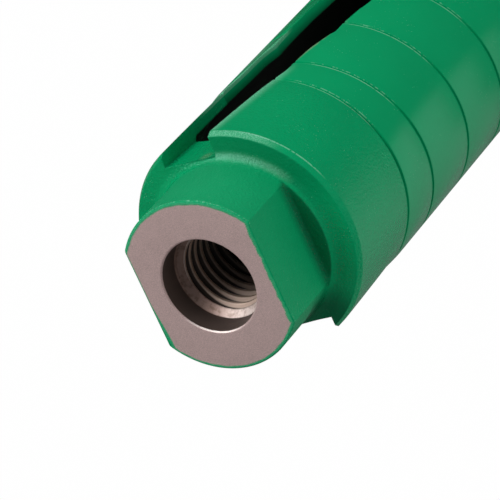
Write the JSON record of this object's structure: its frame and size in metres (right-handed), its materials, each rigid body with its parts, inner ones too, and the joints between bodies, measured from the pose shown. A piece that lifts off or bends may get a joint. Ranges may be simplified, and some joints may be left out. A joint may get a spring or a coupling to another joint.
{
  "type": "diamond core bit",
  "caption": "Dry core bit: slotted tube with a spiral groove, screw-on hub with spanner flats, and diamond segments round its rim.",
  "frame": {"origin": "middle of the cutting rim, on the plane that the bit stands on", "axes": "+Z along the axis from the rim to the hub; the spanner flats face +X and -X; the slots open towards -Y and +Y"},
  "size_m": [0.042, 0.042, 0.165],
  "materials": {
    "painted_steel": "semi-gloss green paint, bare on the hub's end face and in its socket",
    "segment_matrix": "matt sintered metal with grit"
  },
  "bodies": {
    "root": {"hub": "painted_steel", "barrel": "painted_steel", "segment_1": "segment_matrix", "segment_2": "segment_matrix", "segment_3": "segment_matrix", "segment_4": "segment_matrix"}
  },
  "joints": []
}
